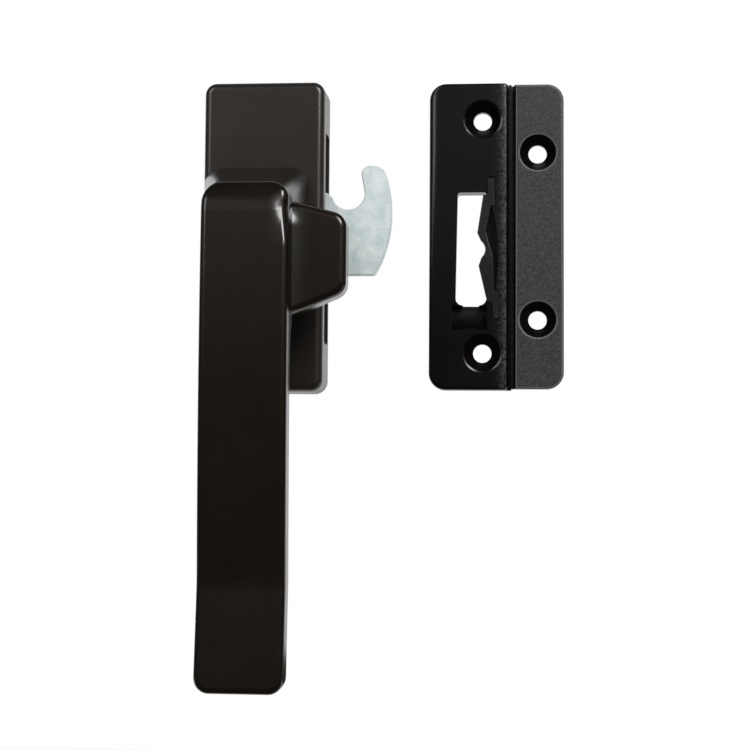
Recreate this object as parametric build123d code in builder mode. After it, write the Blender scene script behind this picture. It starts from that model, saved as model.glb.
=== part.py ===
from build123d import *
import os
from math import cos, isclose, radians, sin, sqrt, tan

# Window latch: a lever unit with a swinging hook, and the keeper plate that the hook enters.
# X runs to the right, Z up, and the front faces -Y. The mounting plane is Y = 0, and the origin
# is the middle of the base on that plane. Heights are measured from it towards the front,
# sizes in millimetres and angles in degrees.

# Base housing, a die-cast shell open at the back
base_width = 36.5
base_height = 92.6
base_depth = 13.0
base_corner = 3.8
base_edge = 2.2
base_draft = 1.5
base_wall = 1.4
base_front = 2.4
pivot_rise = 7.9
notch_length = 63.0
notch_depth = 8.6
notch_back = 1.2
notch_corner = 1.5
fixing_spacing = 76.0
fixing_core = 4.2
fixing_boss = 10.0
fixing_depth = 9.0
rib_thickness = 2.0
rib_height = 2.6

# Spindle, its bush and what the spindle carries behind the base front
spindle_square = 8.0
spindle_lead = 0.5
square_clearance = 0.04
journal_radius = 6.0
journal_clearance = 0.05
bush_wall = 1.5
bush_flange_radius = 10.0
bush_flange = 1.0
bush_proud = 0.3
bush_clearance = 0.03
barrel_wall = 2.5
running_gap = 0.3
tail_end = 0.4
tail_radius = 3.5
tail_clearance = 0.1
groove_depth = 0.6
clip_back = 0.9
clip_thickness = 0.7
clip_radius = 6.0
clip_mouth = 4.6
clip_clearance = 0.03
washer_thickness = 0.8
washer_radius = 8.0
spring_strip = 0.5
spring_cone = 0.4
spring_radius = 9.6
spring_clearance = 0.2

# Hook, a flat plate; its points are measured from the pivot
hook_thickness = 3.0
hook_radius = 37.7
hook_hub = 11.5
hook_hub_angle = 65.0
hook_heel_drop = 18.8
hook_heel_start = 22.5
hook_heel_round = 1.6
hook_tip_rise = 14.2
hook_tip_start = 28.0
hook_tip_outer = 4.2
hook_tip_inner = 2.6
throat_x = 24.6
throat_z = 5.9
throat_radius = 4.9
throat_lip_angle = 15.0
hook_shoulder_x = 18.2
hook_shoulder_z = 6.0
hook_shoulder_round = 1.0
hook_edge = 0.3

# Lever, one casting of hub, neck, grip and side wing; drops are measured down from the pivot
hub_top = 12.1
hub_bottom = 12.9
hub_wall = 4.0
hub_left = 17.4
hub_right = 13.6
neck_corner = 5.2
neck_top_front = 42.0
neck_top_rise = 2.4
neck_foot_drop = 52.0
flare_front = 38.0
flare_end = 40.0
flare_foot = 2.0
roll_drop = 6.0
grip_width = 24.4
grip_front = 46.0
grip_thickness = 8.6
grip_end = 136.5
grip_corner = 4.2
grip_edge = 1.8
grip_back_edge = 2.4
crown_drop = 42.0
crown_radius = 1100.0
bend_drop = 105.0
bend_radius = 26.0
bend_turn = 9.0
socket_depth = 14.5
wing_front = 38.0
wing_thickness = 9.0
wing_root = 6.0
wing_reach = 27.2
wing_root_top = 0.5
wing_root_bottom = 36.4
wing_tip_top = 6.0
wing_tip_bottom = 27.5
wing_corner = 4.4
wing_edge = 2.0
wing_back_edge = 0.9

# Set screw that holds the lever on the spindle
screw_radius = 2.5
screw_length = 6.0
screw_height = 6.0
screw_point = 0.7
screw_key = 2.5
screw_key_depth = 3.0
screw_clearance = 0.04

# Keeper, a plate with two leaves and a slot; its points are measured from its middle
keeper_x = 68.8
keeper_rise = 0.9
keeper_width = 39.9
keeper_height = 92.0
keeper_depth = 5.0
keeper_corner = 5.0
leaf_line = 4.5
leaf_step = 0.5
leaf_inset = 0.4
leaf_edge = 1.0
leaf_corner = 1.3
groove_width = 1.2
groove_floor = 1.8
groove_draft = 10.0
hole_radius = 2.75
sink_radius = 5.6
sink_edge = 0.3
left_hole_x = -4.1
left_hole_spacing = 70.0
right_hole_x = 12.3
right_hole_spacing = 50.0
slot_left_top = -11.5
slot_left_bottom = -12.1
slot_right = -2.9
slot_top = 12.9
slot_bottom = -20.9
slot_top_round = 0.9
slot_bottom_round = 2.2
scoop_left = -13.1
scoop_right = -2.7
scoop_bottom = -28.2
scoop_depth = 3.6

# Spring insert of the keeper; its points are measured from its own middle
insert_x = -0.9
insert_z = -3.75
insert_tilt = 2.3
insert_thickness = 2.6
insert_sink = 0.3
insert_clearance = 0.12
tab_width = 2.15
tab_length = 8.8
tab_span = 42.6
tab_round = 0.9
leaf_back = -0.2
leaf_waist = -2.0
leaf_end = -2.4
leaf_end_span = 32.4
leaf_point = -4.55
leaf_point_span = 9.9
leaf_notch = -2.4
leaf_notch_start = -3.6
leaf_notch_span = 5.2
spring_room = 1.6

os.makedirs("parts", exist_ok=True)

# Planes of the front view, at the base, the pivot, the keeper and its tilted insert
front = Plane.XZ
pivot = Plane((0, 0, pivot_rise), x_dir=(1, 0, 0), z_dir=(0, -1, 0))
keeper = Plane((keeper_x, 0, keeper_rise), x_dir=(1, 0, 0), z_dir=(0, -1, 0))
insert = Plane(
    (keeper_x + insert_x, 0, keeper_rise + insert_z),
    x_dir=(cos(radians(insert_tilt)), 0, sin(radians(insert_tilt))),
    z_dir=(0, -1, 0),
)

# Planes of the side view, with height to the right and Z up
pivot_side = Plane(pivot.origin, x_dir=(0, -1, 0), z_dir=(-1, 0, 0))
keeper_side = Plane(keeper.origin, x_dir=(0, -1, 0), z_dir=(-1, 0, 0))

# Heights and radii that several pieces share
washer_back = clip_back + clip_thickness
hook_back = washer_back + washer_thickness
hook_front = hook_back + hook_thickness
spring_front = hook_front + spring_strip + spring_cone
barrel_back = spring_front + running_gap
cavity_front = base_depth - base_front
flange_front = base_depth + bush_proud
hub_back = flange_front + running_gap
bush_radius = journal_radius + journal_clearance + bush_wall
barrel_radius = bush_radius + bush_clearance + barrel_wall
socket_square = spindle_square + 2 * square_clearance
insert_front = keeper_depth - insert_sink

# Limits of a face normal's part along an axis: turned to the front, square to the front, turned to the
# back, and square to the right
front_turned = -0.6
front_square = -0.9
back_turned = 0.3
side_square = 0.9


def border(faces):
    # Edges that belong to only one of the faces
    edges = [edge for face in faces for edge in face.edges()]
    return ShapeList(edge for edge in edges if sum(edge.is_same(other) for other in edges) == 1)


def near(point):
    # The corner of the current sketch that lies nearest to a point
    return vertices().sort_by_distance(point)[0]


# Base housing: a drafted shell with a barrel for the bush, two tapped bosses and a rib between them
with BuildPart() as base_housing:
    with BuildSketch(front):
        RectangleRounded(base_width, base_height, base_corner)
    extrude(amount=base_depth, taper=base_draft)
    fillet(base_housing.faces().sort_by(Axis.Y)[0].edges(), base_edge)
    with BuildSketch(front):
        RectangleRounded(base_width - 2 * base_wall, base_height - 2 * base_wall, base_corner - base_wall)
    extrude(amount=cavity_front, taper=base_draft, mode=Mode.SUBTRACT)
    with BuildSketch(front.offset(cavity_front - rib_height)):
        Rectangle(rib_thickness, fixing_spacing)
    extrude(amount=rib_height)
    with BuildSketch(pivot.offset(barrel_back)):
        Circle(barrel_radius)
    extrude(amount=cavity_front - barrel_back)
    with BuildSketch(front):
        with GridLocations(0, fixing_spacing, 1, 2):
            Circle(fixing_boss / 2)
    extrude(amount=cavity_front)
    with BuildSketch(front):
        with GridLocations(0, fixing_spacing, 1, 2):
            Circle(fixing_core / 2)
    extrude(amount=fixing_depth, mode=Mode.SUBTRACT)
    with BuildSketch(pivot.offset(barrel_back)):
        Circle(bush_radius + bush_clearance)
    extrude(amount=base_depth - barrel_back, mode=Mode.SUBTRACT)
    with BuildSketch(pivot.offset(flange_front - bush_flange)):
        Circle(bush_flange_radius + bush_clearance)
    extrude(amount=bush_flange, mode=Mode.SUBTRACT)
    with BuildSketch(Plane.YZ.offset(base_width / 2 - 2 * base_wall)):
        with Locations((-(notch_back + notch_depth) / 2, 0)):
            RectangleRounded(notch_depth - notch_back, notch_length, notch_corner)
    extrude(amount=3 * base_wall, mode=Mode.SUBTRACT)

# Bush that the spindle turns in
with BuildPart() as spindle_bush:
    with BuildSketch(pivot.offset(barrel_back)):
        Circle(bush_radius)
    extrude(amount=flange_front - barrel_back)
    with BuildSketch(pivot.offset(flange_front - bush_flange)):
        Circle(bush_flange_radius)
    extrude(amount=bush_flange)
    with BuildSketch(pivot.offset(barrel_back)):
        Circle(journal_radius + journal_clearance)
    extrude(amount=flange_front - barrel_back, mode=Mode.SUBTRACT)

# Spindle: a square for lever and hook, a round journal between them and a grooved tail
with BuildPart() as spindle:
    with BuildSketch(pivot.offset(hook_back)):
        Rectangle(spindle_square, spindle_square)
    extrude(amount=hub_back + socket_depth - spindle_lead - hook_back)
    chamfer(spindle.faces().sort_by(Axis.Y)[0].edges(), spindle_lead)
    with BuildSketch(pivot.offset(hook_front)):
        Circle(journal_radius)
    extrude(amount=hub_back - hook_front)
    with BuildSketch(pivot.offset(tail_end)):
        Circle(tail_radius)
    extrude(amount=hook_back - tail_end)
    with BuildSketch(pivot.offset(clip_back - clip_clearance)):
        Circle(tail_radius)
        Circle(tail_radius - groove_depth, mode=Mode.SUBTRACT)
    extrude(amount=clip_thickness + clip_clearance, mode=Mode.SUBTRACT)

# Retaining clip, open on one side, in the groove of the tail
with BuildPart() as retaining_clip:
    with BuildSketch(pivot.offset(clip_back)):
        Circle(clip_radius)
        Circle(tail_radius - groove_depth + clip_clearance, mode=Mode.SUBTRACT)
        with Locations((-clip_radius, 0)):
            Rectangle(2 * clip_radius, clip_mouth, mode=Mode.SUBTRACT)
    extrude(amount=clip_thickness)

# Washer between the clip and the hook
with BuildPart() as retaining_washer:
    with BuildSketch(pivot.offset(washer_back)):
        Circle(washer_radius)
        Circle(tail_radius + tail_clearance, mode=Mode.SUBTRACT)
    extrude(amount=washer_thickness)

# Conical spring washer between the hook and the barrel
with BuildPart() as spring_washer:
    with BuildSketch(pivot_side):
        Polygon(
            (hook_front, spring_radius),
            (hook_front + spring_strip, spring_radius),
            (spring_front, journal_radius + spring_clearance),
            (spring_front - spring_strip, journal_radius + spring_clearance),
        )
    revolve(axis=Axis((0, 0, pivot_rise), (0, 1, 0)))

# Hook: an arc about the pivot outside, the throat inside and a round hub with a square hole
heel = (sqrt(hook_radius**2 - hook_heel_drop**2), -hook_heel_drop)
heel_start = (hook_heel_start, -hook_heel_drop)
tip = (sqrt(hook_radius**2 - hook_tip_rise**2), hook_tip_rise)
tip_start = (hook_tip_start, hook_tip_rise)
shoulder = (hook_shoulder_x, hook_shoulder_z)
throat_right = (throat_x + throat_radius, throat_z)
throat_floor = (throat_x, throat_z - throat_radius)
throat_lip = (
    throat_x - throat_radius * cos(radians(throat_lip_angle)),
    throat_z - throat_radius * sin(radians(throat_lip_angle)),
)
hub_upper = (hook_hub * cos(radians(hook_hub_angle)), hook_hub * sin(radians(hook_hub_angle)))
hub_lower = (hub_upper[0], -hub_upper[1])

with BuildPart() as hook:
    with BuildSketch(pivot.offset(hook_back)):
        with BuildLine():
            ThreePointArc(heel, (hook_radius, 0), tip)
            Polyline(tip, tip_start, throat_right)
            ThreePointArc(throat_right, throat_floor, throat_lip)
            Polyline(throat_lip, shoulder, hub_upper)
            ThreePointArc(hub_upper, (-hook_hub, 0), hub_lower)
            Polyline(hub_lower, heel_start, heel)
        make_face()
        fillet([near(heel), near(heel_start)], hook_heel_round)
        fillet(near(tip), hook_tip_outer)
        fillet(near(tip_start), hook_tip_inner)
        fillet(near(shoulder), hook_shoulder_round)
        Rectangle(socket_square, socket_square, mode=Mode.SUBTRACT)
    extrude(amount=hook_thickness)
    chamfer(hook.faces().sort_by(Axis.Y)[0].outer_wire().edges(), hook_edge)


def crown(drop):
    # Height of the grip's gently bowed front, at a drop below the pivot
    return grip_front - crown_radius + sqrt(crown_radius**2 - (drop - crown_drop) ** 2)


def grip_line(start_drop, sink):
    # One long side of the grip: the bow, the bend and the straight kicked-out end
    middle = (start_drop + bend_drop) / 2
    bow = ThreePointArc(
        (crown(start_drop) - sink, -start_drop),
        (crown(middle) - sink, -middle),
        (crown(bend_drop) - sink, -bend_drop),
    )
    bend = JernArc(bow @ 1, bow % 1, bend_radius, bend_turn)
    way = bend % 1
    kick = Line(bend @ 1, bend @ 1 + way * ((grip_end + (bend @ 1).Y) / -way.Y))
    return bow, kick


def flare_side(foot):
    # Half width of the flare at its front end, inside the neck, for its half width at the base
    return foot - (foot - grip_width / 2) * (flare_end - hub_back) / (flare_front - hub_back)


# Lever: the side view, drawn out to the width of the grip and rounded, then the flare that widens the neck
# towards the base and the wing beside it
with BuildPart() as flare:
    with BuildSketch(Plane.XY.offset(pivot_rise - hub_bottom)):
        Polygon(
            (hub_right, -hub_back),
            (-hub_left, -hub_back),
            (-flare_side(hub_left), -flare_end),
            (flare_side(hub_right), -flare_end),
        )
    extrude(amount=hub_bottom + hub_top)
    with BuildSketch(pivot_side.offset(-hub_left)):
        Polygon(
            (hub_back, hub_top),
            (neck_top_front, hub_top),
            (neck_top_front, neck_top_rise),
        )
    extrude(amount=2 * hub_left, mode=Mode.SUBTRACT)
    fillet(flare.faces().sort_by(Axis.Z)[-1].edges().filter_by(Axis.X, reverse=True), neck_corner)
    fillet(flare.faces().sort_by(Axis.Z)[0].edges().filter_by(Axis.X, reverse=True), flare_foot)

with BuildPart() as wing:
    with BuildSketch(pivot.offset(wing_front - wing_thickness)):
        Polygon(
            (wing_root, -wing_root_top),
            (wing_root, -wing_root_bottom),
            (wing_reach, -wing_tip_bottom),
            (wing_reach, -wing_tip_top),
        )
        fillet(vertices().group_by(Axis.X)[-1], wing_corner)
    extrude(amount=wing_thickness)
    fillet(wing.faces().sort_by(Axis.Y)[0].edges(), wing_edge)
    fillet(wing.faces().sort_by(Axis.Y)[-1].edges(), wing_back_edge)

with BuildPart() as lever:
    with BuildSketch(pivot_side.offset(-grip_width / 2)):
        with BuildLine():
            bow, kick = grip_line(roll_drop, 0)
            under_bow, under_kick = grip_line(neck_foot_drop, grip_thickness)
            Line(kick @ 1, under_kick @ 1)
            head = Polyline(
                (hub_back + hub_wall, -hub_bottom),
                (hub_back, -hub_bottom),
                (hub_back, hub_top),
                (neck_top_front, neck_top_rise),
            )
            TangentArc(bow @ 0, head @ 1, tangent=-(bow % 0))
            TangentArc(under_bow @ 0, head @ 0, tangent=-(under_bow % 0))
        make_face()
    extrude(amount=grip_width)
    end_face = lever.faces().sort_by(Axis.Z)[0]
    fillet(end_face.edges().filter_by(Axis.X, reverse=True), grip_corner)
    roof_face = lever.faces().sort_by(Axis.Z)[-1]
    fillet(roof_face.edges().filter_by(Axis.X, reverse=True), neck_corner)
    fillet(border(lever.faces().filter_by(lambda face: face.normal_at().Y < front_turned)), grip_edge)
    back_faces = lever.faces().filter_by(lambda face: face.normal_at().Y > back_turned)
    under_faces = back_faces.sort_by(Axis.Y)[:-1]
    foot_edge = under_faces.edges().filter_by(Axis.X).sort_by(Axis.Z)[-1]
    fillet(border(under_faces) - [foot_edge], grip_back_edge)
    add([flare.part, wing.part])
    with BuildSketch(pivot.offset(hub_back)):
        Rectangle(socket_square, socket_square)
    extrude(amount=socket_depth, mode=Mode.SUBTRACT)
    with BuildSketch(Plane.XY.offset(pivot_rise)):
        with Locations((0, -hub_back - screw_height)):
            Circle(screw_radius)
    extrude(amount=-2 * hub_bottom, mode=Mode.SUBTRACT)

# Set screw: a threaded stud with a flat point on the spindle and a hexagon socket
with BuildPart() as lever_screw:
    with BuildSketch(Plane.XY.offset(pivot_rise - spindle_square / 2 - screw_clearance)):
        with Locations((0, -hub_back - screw_height)):
            Circle(screw_radius - screw_clearance)
    extrude(amount=-screw_length)
    chamfer(lever_screw.edges().sort_by(Axis.Z)[-1], screw_point)
    with BuildSketch(lever_screw.faces().sort_by(Axis.Z)[0]):
        RegularPolygon(screw_key / 2, 6, major_radius=False)
    extrude(amount=-screw_key_depth, mode=Mode.SUBTRACT)


# Outline of the spring insert: two tabs, and between them a leaf with a round notch between two points
tab = tab_width / 2
tab_end = tab_span / 2
tab_start = tab_end - tab_length
leaf_foot = leaf_end_span / 2
leaf_peak = leaf_point_span / 2
leaf_lip = leaf_notch_span / 2

with BuildSketch() as insert_outline:
    with BuildLine():
        Polyline(
            (leaf_notch_start, leaf_lip),
            (leaf_point, leaf_peak),
            (leaf_end, leaf_foot),
            (-tab, leaf_foot),
            (-tab, tab_end),
            (tab, tab_end),
            (tab, tab_start),
            (leaf_back, tab_start),
            (leaf_waist, leaf_peak),
            (leaf_back, -leaf_lip),
            (leaf_back, -tab_start),
            (tab, -tab_start),
            (tab, -tab_end),
            (-tab, -tab_end),
            (-tab, -leaf_foot),
            (leaf_end, -leaf_foot),
            (leaf_point, -leaf_peak),
            (leaf_notch_start, -leaf_lip),
        )
        ThreePointArc((leaf_notch_start, -leaf_lip), (leaf_notch, 0), (leaf_notch_start, leaf_lip))
    make_face()
    fillet(vertices().group_by(Axis.Y)[0], tab_round)

# Spring insert
with BuildPart() as keeper_insert:
    with BuildSketch(insert.offset(insert_front - insert_thickness)):
        add(insert_outline.sketch)
    extrude(amount=insert_thickness)

# Keeper body: two leaves with a groove between them, slot, pocket, scoop and screw holes
left_edge = -keeper_width / 2
right_edge = keeper_width / 2
right_depth = keeper_depth - leaf_step
groove_mouth = groove_width + 2 * (2 * keeper_depth - groove_floor) * tan(radians(groove_draft))

with BuildPart() as keeper_body:
    with BuildSketch(keeper):
        with Locations(((left_edge + leaf_line) / 2, 0)):
            Rectangle(leaf_line - left_edge, keeper_height)
        fillet(vertices().group_by(Axis.X)[0], keeper_corner)
    extrude(amount=keeper_depth)
    with BuildSketch(keeper):
        with Locations(((right_edge + leaf_line) / 2, 0)):
            Rectangle(right_edge - leaf_line, keeper_height - 2 * leaf_inset)
        fillet(vertices().group_by(Axis.X)[-1], keeper_corner)
    extrude(amount=right_depth)
    with BuildSketch(Plane.XY.offset(keeper_rise - keeper_height)):
        Polygon(
            (keeper_x + leaf_line - groove_mouth / 2, -2 * keeper_depth),
            (keeper_x + leaf_line - groove_width / 2, -groove_floor),
            (keeper_x + leaf_line + groove_width / 2, -groove_floor),
            (keeper_x + leaf_line + groove_mouth / 2, -2 * keeper_depth),
        )
    extrude(amount=2 * keeper_height, mode=Mode.SUBTRACT)
    right_faces = keeper_body.faces().filter_by(lambda face: face.normal_at().X > side_square)
    groove_wall = right_faces.sort_by(Axis.X)[0]
    fillet(groove_wall.edges().filter_by(Axis.Z, reverse=True), leaf_corner)
    leaf_faces = keeper_body.faces().filter_by(lambda face: face.normal_at().Y < front_square)
    fillet(border(leaf_faces.sort_by(Axis.Y)[:2]), leaf_edge)
    with BuildSketch(keeper):
        Polygon(
            (slot_left_top, slot_top),
            (slot_left_bottom, slot_bottom),
            (slot_right, slot_bottom),
            (slot_right, slot_top),
        )
        fillet(vertices().group_by(Axis.Y)[-1], slot_top_round)
        fillet(vertices().group_by(Axis.Y)[0], slot_bottom_round)
    extrude(amount=keeper_depth, mode=Mode.SUBTRACT)
    with BuildSketch(insert.offset(insert_front - insert_thickness)):
        add(insert_outline.sketch)
        with BuildLine():
            ThreePointArc((leaf_back, tab_start), (leaf_back + spring_room, 0), (leaf_back, -tab_start))
            Polyline(
                (leaf_back, -tab_start),
                (leaf_back, -leaf_lip),
                (leaf_waist, leaf_peak),
                (leaf_back, tab_start),
            )
        make_face()
        offset(amount=insert_clearance)
    extrude(amount=keeper_depth, mode=Mode.SUBTRACT)
    with BuildSketch(keeper_side.offset(-scoop_right)):
        with BuildLine():
            ramp = TangentArc(
                (keeper_depth - scoop_depth, slot_bottom),
                (keeper_depth, scoop_bottom),
                tangent=(0, -1),
            )
            Polyline(ramp @ 1, (2 * keeper_depth, scoop_bottom), (2 * keeper_depth, slot_bottom), ramp @ 0)
        make_face()
    extrude(amount=scoop_right - scoop_left, mode=Mode.SUBTRACT)
    with Locations(keeper.offset(keeper_depth)):
        with Locations((left_hole_x, 0)):
            with GridLocations(0, left_hole_spacing, 1, 2):
                CounterSinkHole(hole_radius, sink_radius)
    with Locations(keeper.offset(right_depth)):
        with Locations((right_hole_x, 0)):
            with GridLocations(0, right_hole_spacing, 1, 2):
                CounterSinkHole(hole_radius, sink_radius)
    round_edges = keeper_body.edges().filter_by(GeomType.CIRCLE)
    chamfer(round_edges.filter_by(lambda edge: isclose(edge.radius, sink_radius)), sink_edge)

for piece, name in (
    (base_housing, "base_housing"),
    (spindle_bush, "spindle_bush"),
    (spindle, "spindle"),
    (retaining_clip, "retaining_clip"),
    (retaining_washer, "retaining_washer"),
    (spring_washer, "spring_washer"),
    (hook, "hook"),
    (lever, "lever"),
    (lever_screw, "lever_screw"),
    (keeper_body, "keeper_body"),
    (keeper_insert, "keeper_insert"),
):
    piece.part.label = name
    export_step(piece.part, f"parts/{name}.step")
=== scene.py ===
import bmesh
import bpy
import math
from mathutils import Matrix, Vector


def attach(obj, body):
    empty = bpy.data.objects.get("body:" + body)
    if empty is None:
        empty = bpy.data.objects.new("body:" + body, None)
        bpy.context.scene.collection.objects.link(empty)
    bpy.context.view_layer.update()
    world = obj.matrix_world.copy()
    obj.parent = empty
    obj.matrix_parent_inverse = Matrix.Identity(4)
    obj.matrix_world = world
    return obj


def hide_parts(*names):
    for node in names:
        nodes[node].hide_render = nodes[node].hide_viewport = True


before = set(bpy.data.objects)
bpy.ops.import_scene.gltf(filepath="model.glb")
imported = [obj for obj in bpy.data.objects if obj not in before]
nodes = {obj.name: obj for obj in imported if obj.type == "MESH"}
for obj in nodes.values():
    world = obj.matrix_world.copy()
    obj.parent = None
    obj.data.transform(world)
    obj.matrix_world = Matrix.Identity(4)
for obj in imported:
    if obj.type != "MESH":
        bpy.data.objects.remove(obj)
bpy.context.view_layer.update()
print("frame: loaded", len(nodes), "nodes")


# Node helpers: a term is another node's output, which is linked, or a plain value

# Where a Mix node takes its factor and its two colours, and where it gives the blended one
mixSockets = {"inputs": (0, 6, 7), "result": 2}

# What each shared skin gives to its material
skinOutputs = {
    "Color": "NodeSocketColor",
    "Roughness": "NodeSocketFloat",
    "Height": "NodeSocketFloat",
}


def addNode(tree, kind, spot, **values):
    node = tree.nodes.new(kind)
    node.location = spot
    for key, value in values.items():
        setattr(node, key, value)
    return node


def setInputs(node, **values):
    for key, value in values.items():
        node.inputs[key.replace("_", " ")].default_value = value


def fill(tree, socket, term):
    if isinstance(term, bpy.types.NodeSocket):
        tree.links.new(term, socket)
    else:
        socket.default_value = term


def mathNode(tree, spot, operation, *terms):
    node = addNode(tree, "ShaderNodeMath", spot, operation=operation)
    for socket, term in zip(node.inputs, terms):
        fill(tree, socket, term)
    return node.outputs["Value"]


def rangeNode(tree, spot, term, low, high, reach=1.0, kind="LINEAR"):
    node = addNode(tree, "ShaderNodeMapRange", spot, interpolation_type=kind)
    setInputs(node, From_Min=low, From_Max=high, To_Max=reach)
    fill(tree, node.inputs["Value"], term)
    return node.outputs["Result"]


def noiseNode(tree, spot, place, scale, values):
    node = addNode(tree, "ShaderNodeTexNoise", spot)
    setInputs(node, **values)
    fill(tree, node.inputs["Vector"], place)
    fill(tree, node.inputs["Scale"], scale)
    return node.outputs["Fac"]


def blendValues(tree, spot, *terms):
    node = addNode(tree, "ShaderNodeMix", spot, data_type="FLOAT")
    for label, term in zip(("Factor", "A", "B"), terms):
        fill(tree, node.inputs[label], term)
    return node.outputs["Result"]


def blendColours(tree, spot, *terms):
    node = addNode(tree, "ShaderNodeMix", spot, data_type="RGBA")
    for index, term in zip(mixSockets["inputs"], terms):
        fill(tree, node.inputs[index], term)
    return node.outputs[mixSockets["result"]]


def bumpNode(tree, spot, height, strength, distance, name):
    node = addNode(tree, "ShaderNodeBump", spot, name=name)
    setInputs(node, Strength=strength, Distance=distance)
    tree.links.new(height, node.inputs["Height"])
    return node


def splitNode(tree, spot, vector):
    node = addNode(tree, "ShaderNodeSeparateXYZ", spot)
    tree.links.new(vector, node.inputs["Vector"])
    return node.outputs


def newGroup(name, inputs):
    group = bpy.data.node_groups.new(name, "ShaderNodeTree")
    for label, kind, value in inputs:
        socket = group.interface.new_socket(name=label, in_out="INPUT", socket_type=kind)
        if value is not None:
            socket.default_value = value
    for label, kind in skinOutputs.items():
        group.interface.new_socket(name=label, in_out="OUTPUT", socket_type=kind)
    entry = addNode(group, "NodeGroupInput", (-900, 0))
    leave = addNode(group, "NodeGroupOutput", (700, 0))
    return group, entry.outputs, leave.inputs


def newMaterial(name):
    material = bpy.data.materials.new(name)
    material.use_nodes = True
    tree = material.node_tree
    shader = tree.nodes["Principled BSDF"]
    coords = addNode(tree, "ShaderNodeTexCoord", (-1200, 0), name="coords")
    return material, tree, shader, coords


def dress(nodeName, material):
    mesh = nodes[nodeName].data
    mesh.materials.clear()
    mesh.materials.append(material)


def addMesh(name, shape, material):
    mesh = bpy.data.meshes.new(name)
    shape.to_mesh(mesh)
    shape.free()
    mesh.materials.append(material)
    piece = bpy.data.objects.new(name, mesh)
    bpy.context.scene.collection.objects.link(piece)
    return piece


# Shared effect: the skin of sprayed paint and moulded plastic
paintNoise = {
    "peel": {"Detail": 2.0, "Roughness": 0.45},
    "grain": {"Detail": 3.0, "Roughness": 0.6},
    "cloud": {"Detail": 3.0, "Roughness": 0.55},
    "cloudScale": 55.0,
    "grainInTone": 0.5,
    "spread": (0.35, 0.65),
}


def paintSkinGroup(values):
    group, entry, leave = newGroup(
        "paintSkin",
        [
            ("Vector", "NodeSocketVector", None),
            ("Peel Scale", "NodeSocketFloat", 700.0),
            ("Grain Scale", "NodeSocketFloat", 4200.0),
            ("Grain Share", "NodeSocketFloat", 0.4),
            ("Dark", "NodeSocketColor", (0.01, 0.01, 0.01, 1)),
            ("Light", "NodeSocketColor", (0.02, 0.02, 0.02, 1)),
            ("Rough Low", "NodeSocketFloat", 0.3),
            ("Rough High", "NodeSocketFloat", 0.4),
        ],
    )
    place = entry["Vector"]
    peel = noiseNode(group, (-600, 300), place, entry["Peel Scale"], values["peel"])
    grain = noiseNode(group, (-600, 0), place, entry["Grain Scale"], values["grain"])
    cloud = noiseNode(group, (-600, -300), place, values["cloudScale"], values["cloud"])
    height = blendValues(group, (-250, 200), entry["Grain Share"], peel, grain)
    tone = blendValues(group, (-250, -50), values["grainInTone"], cloud, grain)
    spread = rangeNode(group, (0, -50), tone, *values["spread"])
    colour = blendColours(group, (250, 150), spread, entry["Dark"], entry["Light"])
    rough = blendValues(group, (250, -100), spread, entry["Rough Low"], entry["Rough High"])
    for label, result in zip(skinOutputs, (colour, rough, height)):
        group.links.new(result, leave[label])
    return group


# Shared effect: blotches and fine grain of plated, bright and blackened steel
platedNoise = {
    "blotch": {"Detail": 6.0, "Roughness": 0.62, "Distortion": 0.6},
    "fine": {"Detail": 2.0, "Roughness": 0.5},
    "fineShare": 0.35,
    "spread": (0.32, 0.68),
}


def platedSkinGroup(values):
    group, entry, leave = newGroup(
        "platedSkin",
        [
            ("Vector", "NodeSocketVector", None),
            ("Blotch Scale", "NodeSocketFloat", 260.0),
            ("Fine Scale", "NodeSocketFloat", 2600.0),
            ("Dark", "NodeSocketColor", (0.4, 0.4, 0.4, 1)),
            ("Light", "NodeSocketColor", (0.7, 0.7, 0.7, 1)),
            ("Rough Low", "NodeSocketFloat", 0.35),
            ("Rough High", "NodeSocketFloat", 0.55),
        ],
    )
    place = entry["Vector"]
    blotch = noiseNode(group, (-600, 250), place, entry["Blotch Scale"], values["blotch"])
    fine = noiseNode(group, (-600, -50), place, entry["Fine Scale"], values["fine"])
    both = blendValues(group, (-300, 100), values["fineShare"], blotch, fine)
    spread = rangeNode(group, (-50, 100), both, *values["spread"])
    colour = blendColours(group, (250, 200), spread, entry["Dark"], entry["Light"])
    # Light spots are smoother
    rough = blendValues(group, (250, -50), spread, entry["Rough High"], entry["Rough Low"])
    for label, result in zip(skinOutputs, (colour, rough, both)):
        group.links.new(result, leave[label])
    return group


paintSkin = paintSkinGroup(paintNoise)
platedSkin = platedSkinGroup(platedNoise)


def skinMaterial(name, group, values):
    material, tree, shader, coords = newMaterial(name)
    skin = addNode(tree, "ShaderNodeGroup", (-700, 100), node_tree=group, name="skin")
    tree.links.new(coords.outputs["Object"], skin.inputs["Vector"])
    for label, value in values["skin"].items():
        skin.inputs[label].default_value = value
    peel = bumpNode(
        tree, (-350, -250), skin.outputs["Height"],
        values["bumpStrength"], values["bumpDistance"], "peelBump",
    )
    tree.links.new(skin.outputs["Color"], shader.inputs["Base Color"])
    tree.links.new(skin.outputs["Roughness"], shader.inputs["Roughness"])
    tree.links.new(peel.outputs["Normal"], shader.inputs["Normal"])
    for label, value in values["shader"].items():
        shader.inputs[label].default_value = value
    return material


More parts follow.
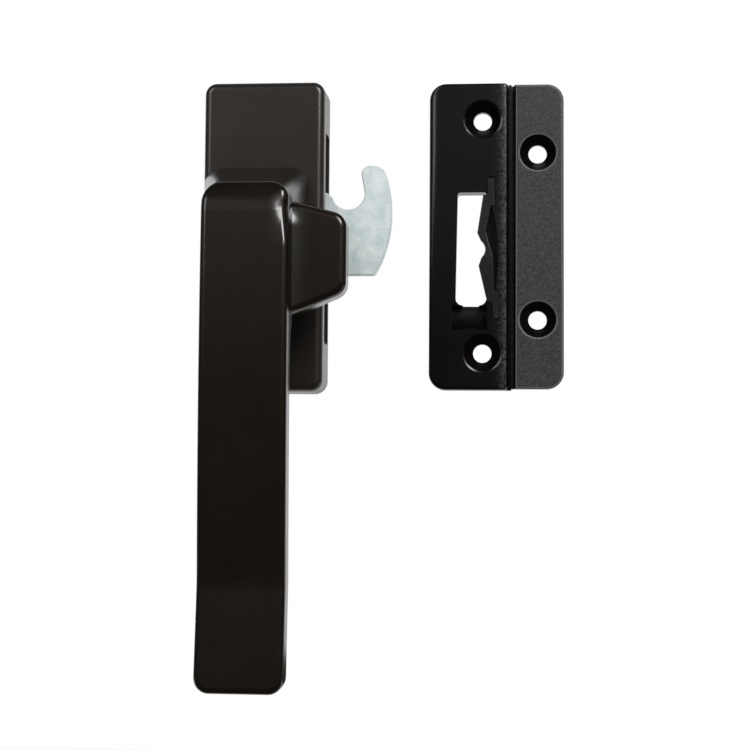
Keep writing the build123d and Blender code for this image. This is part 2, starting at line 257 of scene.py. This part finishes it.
# Soft slopes in the shading. Each runs from flat to steep across X, up to its rise in metres.
# The other pairs give where it is off and where it is full: along Z by itself, and the same front in Y
# and top in Z for all slopes of a piece.
def addSwells(tree, values):
    place = splitNode(tree, (-1200, -1200), tree.nodes["coords"].outputs["Object"])
    total = 0.0
    for row, slope in enumerate(values["slopes"]):
        spot = -1200 - 400 * row
        way = rangeNode(tree, (-1000, spot), place["X"], *slope["across"])
        square = mathNode(tree, (-800, spot), "POWER", way, 2.0)
        inside = mathNode(tree, (-800, spot + 180), "LESS_THAN", way, 1.0)
        curve = mathNode(tree, (-700, spot), "MULTIPLY", square, inside)
        fade = rangeNode(tree, (-800, spot - 200), place["Z"], *slope["along"], slope["rise"], "SMOOTHSTEP")
        total = mathNode(tree, (-600, spot), "MULTIPLY_ADD", curve, fade, total)
    front = rangeNode(tree, (-600, -950), place["Y"], *values["front"])
    below = rangeNode(tree, (-600, -700), place["Z"], *values["top"], kind="SMOOTHSTEP")
    share = mathNode(tree, (-450, -850), "MULTIPLY", front, below)
    height = mathNode(tree, (-400, -1100), "MULTIPLY", share, total)
    swell = bumpNode(tree, (-200, -1000), height, 1.0, 1.0, "swell")
    tree.links.new(swell.outputs["Normal"], tree.nodes["peelBump"].inputs["Normal"])


# Lever: satin brown-black paint
leverPaint = {
    "skin": {
        "Peel Scale": 420.0,
        "Grain Scale": 3600.0,
        "Grain Share": 0.25,
        "Dark": (0.0058, 0.0042, 0.0027, 1),
        "Light": (0.0078, 0.0057, 0.0038, 1),
        "Rough Low": 0.2,
        "Rough High": 0.23,
    },
    "bumpStrength": 0.1,
    "bumpDistance": 0.00008,
    "shader": {"Metallic": 0.0, "Specular IOR Level": 0.5},
    # The grip falls off softly to its right edge, and the nose rises softly to its root
    "swells": {
        "slopes": (
            {"across": (0.0052, 0.012), "rise": -0.0023, "along": (-0.0085, 0.0045)},
            {"across": (0.0185, 0.012), "rise": 0.0022, "along": (0.008, -0.0015)},
        ),
        "front": (-0.03, -0.042),
        "top": (0.0095, 0.002),
    },
}


def leverMaterial(values):
    material = skinMaterial("leverPaint", paintSkin, values)
    addSwells(material.node_tree, values["swells"])
    return material


# Base: the same kind of paint, lighter and a little rougher
basePaint = {
    "skin": {
        "Peel Scale": 600.0,
        "Grain Scale": 4200.0,
        "Grain Share": 0.45,
        "Dark": (0.0125, 0.0098, 0.0076, 1),
        "Light": (0.0165, 0.0132, 0.0106, 1),
        "Rough Low": 0.26,
        "Rough High": 0.32,
    },
    "bumpStrength": 0.2,
    "bumpDistance": 0.00008,
    "shader": {"Metallic": 0.0, "Specular IOR Level": 0.5},
}

# Hook: mottled zinc plating, slightly blue
hookZinc = {
    "skin": {
        "Blotch Scale": 210.0,
        "Fine Scale": 2400.0,
        "Dark": (0.42, 0.52, 0.53, 1),
        "Light": (0.84, 0.9, 0.9, 1),
        "Rough Low": 0.34,
        "Rough High": 0.5,
    },
    "bumpStrength": 0.12,
    "bumpDistance": 0.00006,
    "shader": {"Metallic": 0.35, "Specular IOR Level": 0.5},
}

# Turned and stamped steel inside the base
brightSteel = {
    "skin": {
        "Blotch Scale": 320.0,
        "Fine Scale": 3000.0,
        "Dark": (0.36, 0.36, 0.36, 1),
        "Light": (0.56, 0.55, 0.54, 1),
        "Rough Low": 0.24,
        "Rough High": 0.4,
    },
    "bumpStrength": 0.1,
    "bumpDistance": 0.00005,
    "shader": {"Metallic": 1.0},
}

# Black oxide on the clip and the set screw
blackSteel = {
    "skin": {
        "Blotch Scale": 420.0,
        "Fine Scale": 3200.0,
        "Dark": (0.012, 0.012, 0.014, 1),
        "Light": (0.035, 0.035, 0.038, 1),
        "Rough Low": 0.32,
        "Rough High": 0.5,
    },
    "bumpStrength": 0.15,
    "bumpDistance": 0.00005,
    "shader": {"Metallic": 0.6},
}

# Moulded acetal of the bush
bushPlastic = {
    "skin": {
        "Peel Scale": 900.0,
        "Grain Scale": 5200.0,
        "Grain Share": 0.5,
        "Dark": (0.016, 0.016, 0.017, 1),
        "Light": (0.026, 0.026, 0.027, 1),
        "Rough Low": 0.4,
        "Rough High": 0.5,
    },
    "bumpStrength": 0.12,
    "bumpDistance": 0.00005,
    "shader": {"Metallic": 0.0, "Specular IOR Level": 0.45},
}

# Spring insert of the keeper: its solid with all sharp edges rounded off, angles in degrees
insertPlastic = {
    "skin": {
        "Peel Scale": 800.0,
        "Grain Scale": 5200.0,
        "Grain Share": 0.5,
        "Dark": (0.0016, 0.0013, 0.0011, 1),
        "Light": (0.0056, 0.005, 0.0046, 1),
        "Rough Low": 0.3,
        "Rough High": 0.42,
    },
    "bumpStrength": 0.4,
    "bumpDistance": 0.00016,
    "shader": {"Metallic": 0.0, "Specular IOR Level": 0.4},
    "mergeDistance": 0.00001,
    "flatAngle": 1.0,
    "sharpAngle": 35.0,
    "edgeWidth": 0.00028,
    "edgeRounds": 2,
}


def makeInsert(values, material):
    solid = nodes["keeper_insert"]
    shape = bmesh.new()
    shape.from_mesh(solid.data)
    bmesh.ops.transform(shape, matrix=solid.matrix_world, verts=shape.verts)
    bmesh.ops.remove_doubles(shape, verts=shape.verts, dist=values["mergeDistance"])
    flat = math.radians(values["flatAngle"])
    bmesh.ops.dissolve_limit(shape, angle_limit=flat, verts=shape.verts, edges=shape.edges)
    sharp = math.radians(values["sharpAngle"])
    edges = [e for e in shape.edges if e.is_manifold and e.calc_face_angle() > sharp]
    bmesh.ops.bevel(
        shape, geom=edges, offset=values["edgeWidth"], offset_type="OFFSET", affect="EDGES",
        segments=values["edgeRounds"], profile=0.5, material=-1, clamp_overlap=True,
    )
    bmesh.ops.recalc_face_normals(shape, faces=shape.faces)
    print("insert:", len(edges), "edges rounded, open edges", sum(not e.is_manifold for e in shape.edges))
    piece = addMesh("keeperInsert", shape, material)
    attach(piece, "base")
    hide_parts("keeper_insert")


# Ledge of the pocket, on which the waist of the insert lies
pocketLedge = {"low": (0.0654, -0.0021, 0.0), "high": (0.06595, -0.0005, 0.006)}


def makeLedge(values, material):
    low = Vector(values["low"])
    high = Vector(values["high"])
    shape = bmesh.new()
    bmesh.ops.create_cube(shape, size=1.0)
    bmesh.ops.scale(shape, vec=high - low, verts=shape.verts)
    bmesh.ops.translate(shape, vec=(low + high) / 2, verts=shape.verts)
    piece = addMesh("pocketLedge", shape, material)
    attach(piece, "base")


# Keeper: smooth left leaf and a grained right leaf, parted at the groove
keeperPaint = {
    "skin": {
        "Peel Scale": 600.0,
        "Grain Scale": 3600.0,
        "Grain Share": 0.4,
        "Dark": (0.0018, 0.0013, 0.001, 1),
        "Light": (0.0032, 0.0025, 0.0021, 1),
        "Rough Low": 0.2,
        "Rough High": 0.26,
    },
    "bumpStrength": 0.12,
    "bumpDistance": 0.00008,
    "shader": {"Metallic": 0.0, "Specular IOR Level": 0.34},
    # Both long edges of the left leaf fall off softly
    "swells": {
        "slopes": (
            {"across": (0.056, 0.0487), "rise": -0.0007, "along": (-0.03, 0.03)},
            {"across": (0.0512, 0.0487), "rise": -0.0005, "along": (-0.03, 0.03)},
            {"across": (0.0695, 0.0733), "rise": -0.0006, "along": (-0.06, 0.03)},
        ),
        "front": (0.0, -0.005),
        "top": (0.2, 0.1),
    },
    # Painted sheen on the left leaf beside the groove: a lighter rim, mottled by the grain, that stands in
    # for a highlight
    "rimSpan": (0.066, 0.0711),
    "rimFade": 3.5,
    "rimEnd": 0.0717,
    "rimSheenColour": (0.055, 0.053, 0.052, 1),
    # Grain of the right leaf, on faces that look to the front; its rounded edges are lighter
    "grooveX": 0.0733,
    "flatLimit": -0.75,
    "sandScale": 1500.0,
    "sandNoise": {"Detail": 3.0, "Roughness": 0.6},
    "sandSpread": (0.35, 0.65),
    "sandDark": (0.0125, 0.012, 0.012, 1),
    "sandLight": (0.037, 0.036, 0.036, 1),
    "sandRough": 0.55,
    "sandStrength": 0.6,
    "sandDistance": 0.00012,
    "edgeLimits": (-0.985, -0.85),
    "edgeLight": (0.12, 0.12, 0.125, 1),
}


def keeperMaterial(values):
    material = skinMaterial("keeperPaint", paintSkin, values)
    tree = material.node_tree
    link = tree.links.new
    shader = tree.nodes["Principled BSDF"]
    coords = tree.nodes["coords"].outputs
    skin = tree.nodes["skin"].outputs
    place = splitNode(tree, (-1000, -500), coords["Object"])
    facing = splitNode(tree, (-1000, -700), coords["Normal"])
    onRight = mathNode(tree, (-800, -500), "GREATER_THAN", place["X"], values["grooveX"])
    onFlat = mathNode(tree, (-800, -700), "LESS_THAN", facing["Y"], values["flatLimit"])
    grained = mathNode(tree, (-600, -600), "MULTIPLY", onRight, onFlat)
    # Colour of the grain, of its light edges and of the painted sheen on the rim
    sand = noiseNode(tree, (-800, -900), coords["Object"], values["sandScale"], values["sandNoise"])
    spread = rangeNode(tree, (-600, -900), sand, *values["sandSpread"])
    sandColour = blendColours(tree, (-400, -800), spread, values["sandDark"], values["sandLight"])
    onEdge = rangeNode(tree, (-600, -1150), facing["Y"], *values["edgeLimits"])
    edgeColour = blendColours(tree, (-300, -950), onEdge, sandColour, values["edgeLight"])
    colour = blendColours(tree, (-200, 300), grained, skin["Color"], edgeColour)
    rimRise = rangeNode(tree, (-800, 500), place["X"], *values["rimSpan"])
    rim = mathNode(tree, (-700, 500), "POWER", rimRise, values["rimFade"])
    leftOfGroove = mathNode(tree, (-800, 700), "LESS_THAN", place["X"], values["rimEnd"])
    for row, mask in enumerate((leftOfGroove, onFlat, spread)):
        rim = mathNode(tree, (-600 + 150 * row, 600), "MULTIPLY", rim, mask)
    # Painted highlight: the rim beside the groove is mixed towards a light colour, on front faces only
    rimSheenMix = blendColours(tree, (0, 400), rim, colour, values["rimSheenColour"])
    link(rimSheenMix, shader.inputs["Base Color"])
    rough = blendValues(tree, (-200, 50), grained, skin["Roughness"], values["sandRough"])
    link(rough, shader.inputs["Roughness"])
    # Grain on top of the paint's own skin
    height = mathNode(tree, (-400, -600), "MULTIPLY", grained, sand)
    grain = bumpNode(tree, (-150, -450), height, values["sandStrength"], values["sandDistance"], "grainBump")
    link(tree.nodes["peelBump"].outputs["Normal"], grain.inputs["Normal"])
    link(grain.outputs["Normal"], shader.inputs["Normal"])
    addSwells(tree, values["swells"])
    return material


dress("lever", leverMaterial(leverPaint))
dress("base_housing", skinMaterial("basePaint", paintSkin, basePaint))
keeperLook = keeperMaterial(keeperPaint)
dress("keeper_body", keeperLook)
makeLedge(pocketLedge, keeperLook)
makeInsert(insertPlastic, skinMaterial("insertPlastic", paintSkin, insertPlastic))
dress("spindle_bush", skinMaterial("bushPlastic", paintSkin, bushPlastic))
dress("hook", skinMaterial("hookZinc", platedSkin, hookZinc))
steelLook = skinMaterial("brightSteel", platedSkin, brightSteel)
for nodeName in ("spindle", "retaining_washer", "spring_washer"):
    dress(nodeName, steelLook)
blackLook = skinMaterial("blackSteel", platedSkin, blackSteel)
for nodeName in ("retaining_clip", "lever_screw"):
    dress(nodeName, blackLook)
print("pieces and materials: done")


# Studio: a pale floor, a white backdrop with two cards above it, a dim warm room and soft lamps.
# Each room step gives a height from -1 to 1 on the sky and its grey.
studio = {
    "floorColour": (0.86, 0.86, 0.86, 1),
    "floorShare": 0.9,
    "wallShare": 1.0,
    "floorLow": -0.27,
    "floorSides": (-1.2, 1.2),
    "floorDepth": (0.0, 0.56),
    "wallBack": 0.55,
    "walls": {
        "backdrop": {"across": (-1.2, 1.2), "rise": (-0.2, 0.21)},
        "leftCard": {"across": (-1.2, -0.17), "rise": (0.21, 0.55)},
        "rightCard": {"across": (0.05, 1.2), "rise": (0.21, 0.55)},
    },
    "roomTint": (1.1, 1.0, 0.92),
    "roomSteps": (
        (-0.1, 0.02), (0.0, 0.05), (0.1, 0.08), (0.15, 0.13),
        (0.225, 0.32), (0.42, 0.4), (0.56, 0.3), (0.7, 0.03),
    ),
    "roomFront": (0.15, -0.35),
    "white": (1, 1, 1, 1),
    "whiteStrength": 1.0,
    "ambient": 0.55,
    "lamps": {
        "keySoftbox": {"at": (0.47, -0.66, 0.5), "size": (0.26, 0.42), "power": 7.5},
        "fillSoftbox": {"at": (-0.47, -0.66, 0.42), "size": (0.26, 0.5), "power": 2.0},
        "topSoftbox": {"at": (0.03, 0.28, 0.52), "size": (0.4, 0.16), "power": 0.2},
    },
    "lampAim": (0.03, -0.02, -0.03),
}


def raySeesBackground(tree, spot):
    path = addNode(tree, "ShaderNodeLightPath", spot).outputs
    shiny = mathNode(
        tree, (spot[0] + 200, spot[1]), "MAXIMUM", path["Is Glossy Ray"], path["Is Transmission Ray"],
    )
    return mathNode(tree, (spot[0] + 400, spot[1]), "MAXIMUM", path["Is Camera Ray"], shiny)


# White for the rays that see the background and matt for all others; a share under 1 lets shadows show
def paleMaterial(name, colour, whiteShare):
    material = bpy.data.materials.new(name)
    material.use_nodes = True
    tree = material.node_tree
    tree.nodes.remove(tree.nodes["Principled BSDF"])
    matt = addNode(tree, "ShaderNodeBsdfDiffuse", (-300, 100))
    setInputs(matt, Color=colour)
    glow = addNode(tree, "ShaderNodeEmission", (-300, -100))
    share = mathNode(tree, (-450, 300), "MULTIPLY", raySeesBackground(tree, (-1100, 300)), whiteShare)
    mix = addNode(tree, "ShaderNodeMixShader", (0, 0))
    tree.links.new(share, mix.inputs["Fac"])
    tree.links.new(matt.outputs["BSDF"], mix.inputs[1])
    tree.links.new(glow.outputs["Emission"], mix.inputs[2])
    tree.links.new(mix.outputs["Shader"], tree.nodes["Material Output"].inputs["Surface"])
    return material


def makeSheet(name, corners, material):
    shape = bmesh.new()
    shape.faces.new([shape.verts.new(corner) for corner in corners])
    addMesh(name, shape, material)


def makeSurround(values):
    floorPale = paleMaterial("floorPale", values["floorColour"], values["floorShare"])
    wallPale = paleMaterial("wallPale", values["floorColour"], values["wallShare"])
    left, right = values["floorSides"]
    front, back = values["floorDepth"]
    low = values["floorLow"]
    corners = ((left, front, low), (right, front, low), (right, back, low), (left, back, low))
    makeSheet("floor", corners, floorPale)
    deep = values["wallBack"]
    for name, wall in values["walls"].items():
        left, right = wall["across"]
        low, high = wall["rise"]
        corners = ((left, deep, low), (right, deep, low), (right, deep, high), (left, deep, high))
        makeSheet(name, corners, wallPale)


# The sky is white for the camera, even for diffuse light and a dim room for reflections
def makeSky(values):
    world = bpy.data.worlds.new("studioSky")
    bpy.context.scene.world = world
    world.use_nodes = True
    tree = world.node_tree
    link = tree.links.new
    room = tree.nodes["Background"]
    coords = addNode(tree, "ShaderNodeTexCoord", (-1200, 0))
    place = splitNode(tree, (-1000, 0), coords.outputs["Generated"])
    rise = rangeNode(tree, (-800, 0), place["Z"], -1.0, 1.0)
    steps = addNode(tree, "ShaderNodeValToRGB", (-600, 0))
    ramp = steps.color_ramp
    while len(ramp.elements) < len(values["roomSteps"]):
        ramp.elements.new(1.0)
    for element, (height, grey) in zip(ramp.elements, values["roomSteps"]):
        element.position = (height + 1) / 2
        element.color = (*(grey * part for part in values["roomTint"]), 1)
    link(rise, steps.inputs["Fac"])
    link(steps.outputs["Color"], room.inputs["Color"])
    front = rangeNode(tree, (-600, -300), place["Y"], *values["roomFront"], kind="SMOOTHSTEP")
    link(front, room.inputs["Strength"])
    path = addNode(tree, "ShaderNodeLightPath", (-600, 500))
    even = addNode(tree, "ShaderNodeBackground", (-100, 200))
    setInputs(even, Color=values["white"], Strength=values["ambient"])
    white = addNode(tree, "ShaderNodeBackground", (-100, 350))
    setInputs(white, Color=values["white"], Strength=values["whiteStrength"])
    soft = addNode(tree, "ShaderNodeMixShader", (150, 100))
    link(path.outputs["Is Diffuse Ray"], soft.inputs["Fac"])
    link(room.outputs["Background"], soft.inputs[1])
    link(even.outputs["Background"], soft.inputs[2])
    view = addNode(tree, "ShaderNodeMixShader", (400, 200))
    link(path.outputs["Is Camera Ray"], view.inputs["Fac"])
    link(soft.outputs["Shader"], view.inputs[1])
    link(white.outputs["Background"], view.inputs[2])
    link(view.outputs["Shader"], tree.nodes["World Output"].inputs["Surface"])


def makeLamps(values):
    for name, lamp in values["lamps"].items():
        data = bpy.data.lights.new(name, "AREA")
        data.shape = "RECTANGLE"
        data.size, data.size_y = lamp["size"]
        data.energy = lamp["power"]
        light = bpy.data.objects.new(name, data)
        light.location = lamp["at"]
        way = Vector(values["lampAim"]) - Vector(lamp["at"])
        light.rotation_euler = way.to_track_quat("-Z", "Y").to_euler()
        light.visible_camera = False
        bpy.context.scene.collection.objects.link(light)


makeSurround(studio)
makeSky(studio)
makeLamps(studio)
print("studio: done")

# Camera: in front and a little below, turned to the left and up; angles in degrees
viewpoint = {
    "at": (0.06568, -0.4207, -0.06497),
    "pan": -4.503,
    "tilt": 3.328,
    "roll": -0.4,
    "lens": 67.46,
    "sensor": 36.0,
    "nearest": 0.01,
}


def makeCamera(values):
    pan, tilt, roll = (math.radians(values[key]) for key in ("pan", "tilt", "roll"))
    ahead = Vector((math.sin(pan) * math.cos(tilt), math.cos(pan) * math.cos(tilt), math.sin(tilt)))
    level = ahead.cross(Vector((0, 0, 1))).normalized()
    upright = level.cross(ahead)
    right = level * math.cos(roll) - upright * math.sin(roll)
    up = level * math.sin(roll) + upright * math.cos(roll)
    data = bpy.data.cameras.new("viewCamera")
    data.lens = values["lens"]
    data.sensor_width = values["sensor"]
    data.clip_start = values["nearest"]
    camera = bpy.data.objects.new("viewCamera", data)
    turn = Matrix((right, up, -ahead)).transposed().to_4x4()
    camera.matrix_world = Matrix.Translation(values["at"]) @ turn
    bpy.context.scene.collection.objects.link(camera)
    bpy.context.scene.camera = camera


makeCamera(viewpoint)
bpy.context.scene.view_settings.view_transform = "Standard"
print("camera: done")
